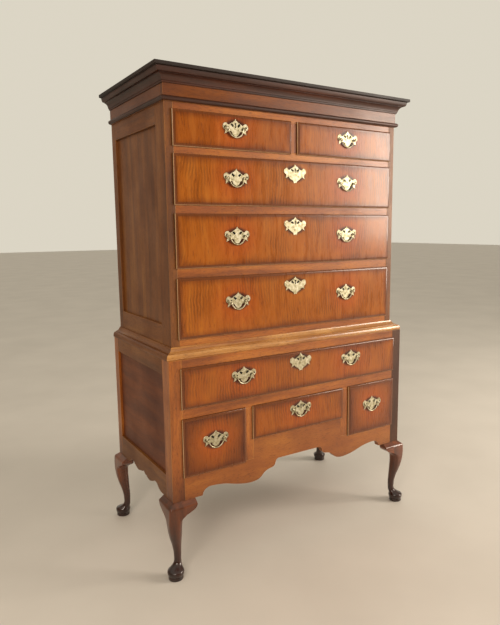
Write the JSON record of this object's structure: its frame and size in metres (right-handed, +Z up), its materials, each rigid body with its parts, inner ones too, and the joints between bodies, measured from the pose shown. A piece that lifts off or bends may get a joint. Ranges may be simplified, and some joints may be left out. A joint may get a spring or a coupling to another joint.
{
  "type": "chest on stand",
  "caption": "Tall walnut chest on stand: lipped drawers with brass bail handles, cove cornice, waist moulding, shaped apron and short cabriole legs with pad feet.",
  "frame": {"origin": "on the floor under the middle of the chest, at the middle of its bounding box", "axes": "+Z up, -Y the way the drawers open, +X to the right as seen from the front"},
  "size_m": [1.0718, 0.5858, 1.648],
  "materials": {
    "case_walnut": "golden-brown walnut, wax polished to a satin gloss",
    "drawer_walnut": "figured walnut veneer with crossbanded edges, wax polished",
    "side_walnut": "dark walnut, straight grained, satin",
    "leg_walnut": "dark worn walnut, glossy on the knees and feet",
    "moulding_walnut": "pale golden walnut, polished bright",
    "cornice_walnut": "dark walnut, satin",
    "lining_oak": "bare quarter-sawn oak",
    "back_pine": "bare aged pine boards",
    "brass": "pale polished brass with tarnish in the hollows"
  },
  "bodies": {
    "case": {"leg_front_left": "leg_walnut", "leg_front_right": "leg_walnut", "leg_back_left": "leg_walnut", "leg_back_right": "leg_walnut", "front_apron": "case_walnut", "lower_side_rails": "side_walnut", "lower_side_panels": "side_walnut", "lower_front_rails": "case_walnut", "lower_partitions": "case_walnut", "lower_runners": "lining_oak", "lower_back_boards": "back_pine", "waist_moulding": "moulding_walnut", "upper_side_frames": "side_walnut", "upper_side_panels": "side_walnut", "upper_front_rails": "case_walnut", "upper_runners": "lining_oak", "upper_back_boards": "back_pine", "upper_case_boards": "back_pine", "frieze": "cornice_walnut", "cornice": "cornice_walnut"},
    "drawer_top_left": {"drawer_top_left_front": "drawer_walnut", "drawer_top_left_box": "lining_oak", "drawer_top_left_brasses": "brass"},
    "bail_top_left": {"bail_top_left": "brass"},
    "drawer_top_right": {"drawer_top_right_front": "drawer_walnut", "drawer_top_right_box": "lining_oak", "drawer_top_right_brasses": "brass"},
    "bail_top_right": {"bail_top_right": "brass"},
    "drawer_upper": {"drawer_upper_front": "drawer_walnut", "drawer_upper_box": "lining_oak", "drawer_upper_brasses": "brass"},
    "bail_upper_drawer_left": {"bail_upper_drawer_left": "brass"},
    "bail_upper_drawer_right": {"bail_upper_drawer_right": "brass"},
    "drawer_middle": {"drawer_middle_front": "drawer_walnut", "drawer_middle_box": "lining_oak", "drawer_middle_brasses": "brass"},
    "bail_middle_drawer_left": {"bail_middle_drawer_left": "brass"},
    "bail_middle_drawer_right": {"bail_middle_drawer_right": "brass"},
    "drawer_deep": {"drawer_deep_front": "drawer_walnut", "drawer_deep_box": "lining_oak", "drawer_deep_brasses": "brass"},
    "bail_deep_drawer_left": {"bail_deep_drawer_left": "brass"},
    "bail_deep_drawer_right": {"bail_deep_drawer_right": "brass"},
    "drawer_long": {"drawer_long_front": "drawer_walnut", "drawer_long_box": "lining_oak", "drawer_long_brasses": "brass"},
    "bail_long_drawer_left": {"bail_long_drawer_left": "brass"},
    "bail_long_drawer_right": {"bail_long_drawer_right": "brass"},
    "drawer_low_left": {"drawer_low_left_front": "drawer_walnut", "drawer_low_left_box": "lining_oak", "drawer_low_left_brasses": "brass"},
    "bail_low_left": {"bail_low_left": "brass"},
    "drawer_low_centre": {"drawer_low_centre_front": "drawer_walnut", "drawer_low_centre_box": "lining_oak", "drawer_low_centre_brasses": "brass"},
    "bail_low_centre": {"bail_low_centre": "brass"},
    "drawer_low_right": {"drawer_low_right_front": "drawer_walnut", "drawer_low_right_box": "lining_oak", "drawer_low_right_brasses": "brass"},
    "bail_low_right": {"bail_low_right": "brass"}
  },
  "joints": [
    {"name": "drawer_top_left_slide", "type": "slide", "parent": "case", "child": "drawer_top_left", "axis": [0, -1, 0], "range_m": [0, 0.33]},
    {"name": "bail_top_left_swing", "type": "hinge", "parent": "drawer_top_left", "child": "bail_top_left", "pos_m": [-0.238, -0.246, 1.479], "axis": [-1, 0, 0], "range_deg": [0, 170]},
    {"name": "drawer_top_right_slide", "type": "slide", "parent": "case", "child": "drawer_top_right", "axis": [0, -1, 0], "range_m": [0, 0.33]},
    {"name": "bail_top_right_swing", "type": "hinge", "parent": "drawer_top_right", "child": "bail_top_right", "pos_m": [0.238, -0.246, 1.479], "axis": [-1, 0, 0], "range_deg": [0, 170]},
    {"name": "drawer_upper_slide", "type": "slide", "parent": "case", "child": "drawer_upper", "axis": [0, -1, 0], "range_m": [0, 0.33]},
    {"name": "bail_upper_drawer_left_swing", "type": "hinge", "parent": "drawer_upper", "child": "bail_upper_drawer_left", "pos_m": [-0.238, -0.246, 1.321], "axis": [-1, 0, 0], "range_deg": [0, 170]},
    {"name": "bail_upper_drawer_right_swing", "type": "hinge", "parent": "drawer_upper", "child": "bail_upper_drawer_right", "pos_m": [0.238, -0.246, 1.321], "axis": [-1, 0, 0], "range_deg": [0, 170]},
    {"name": "drawer_middle_slide", "type": "slide", "parent": "case", "child": "drawer_middle", "axis": [0, -1, 0], "range_m": [0, 0.33]},
    {"name": "bail_middle_drawer_left_swing", "type": "hinge", "parent": "drawer_middle", "child": "bail_middle_drawer_left", "pos_m": [-0.238, -0.246, 1.132], "axis": [-1, 0, 0], "range_deg": [0, 170]},
    {"name": "bail_middle_drawer_right_swing", "type": "hinge", "parent": "drawer_middle", "child": "bail_middle_drawer_right", "pos_m": [0.238, -0.246, 1.132], "axis": [-1, 0, 0], "range_deg": [0, 170]},
    {"name": "drawer_deep_slide", "type": "slide", "parent": "case", "child": "drawer_deep", "axis": [0, -1, 0], "range_m": [0, 0.33]},
    {"name": "bail_deep_drawer_left_swing", "type": "hinge", "parent": "drawer_deep", "child": "bail_deep_drawer_left", "pos_m": [-0.238, -0.246, 0.913], "axis": [-1, 0, 0], "range_deg": [0, 170]},
    {"name": "bail_deep_drawer_right_swing", "type": "hinge", "parent": "drawer_deep", "child": "bail_deep_drawer_right", "pos_m": [0.238, -0.246, 0.913], "axis": [-1, 0, 0], "range_deg": [0, 170]},
    {"name": "drawer_long_slide", "type": "slide", "parent": "case", "child": "drawer_long", "axis": [0, -1, 0], "range_m": [0, 0.36]},
    {"name": "bail_long_drawer_left_swing", "type": "hinge", "parent": "drawer_long", "child": "bail_long_drawer_left", "pos_m": [-0.239, -0.28, 0.661], "axis": [-1, 0, 0], "range_deg": [0, 170]},
    {"name": "bail_long_drawer_right_swing", "type": "hinge", "parent": "drawer_long", "child": "bail_long_drawer_right", "pos_m": [0.239, -0.28, 0.661], "axis": [-1, 0, 0], "range_deg": [0, 170]},
    {"name": "drawer_low_left_slide", "type": "slide", "parent": "case", "child": "drawer_low_left", "axis": [0, -1, 0], "range_m": [0, 0.36]},
    {"name": "bail_low_left_swing", "type": "hinge", "parent": "drawer_low_left", "child": "bail_low_left", "pos_m": [-0.352, -0.28, 0.457], "axis": [-1, 0, 0], "range_deg": [0, 170]},
    {"name": "drawer_low_centre_slide", "type": "slide", "parent": "case", "child": "drawer_low_centre", "axis": [0, -1, 0], "range_m": [0, 0.36]},
    {"name": "bail_low_centre_swing", "type": "hinge", "parent": "drawer_low_centre", "child": "bail_low_centre", "pos_m": [0, -0.28, 0.5], "axis": [-1, 0, 0], "range_deg": [0, 170]},
    {"name": "drawer_low_right_slide", "type": "slide", "parent": "case", "child": "drawer_low_right", "axis": [0, -1, 0], "range_m": [0, 0.36]},
    {"name": "bail_low_right_swing", "type": "hinge", "parent": "drawer_low_right", "child": "bail_low_right", "pos_m": [0.352, -0.28, 0.457], "axis": [-1, 0, 0], "range_deg": [0, 170]}
  ]
}
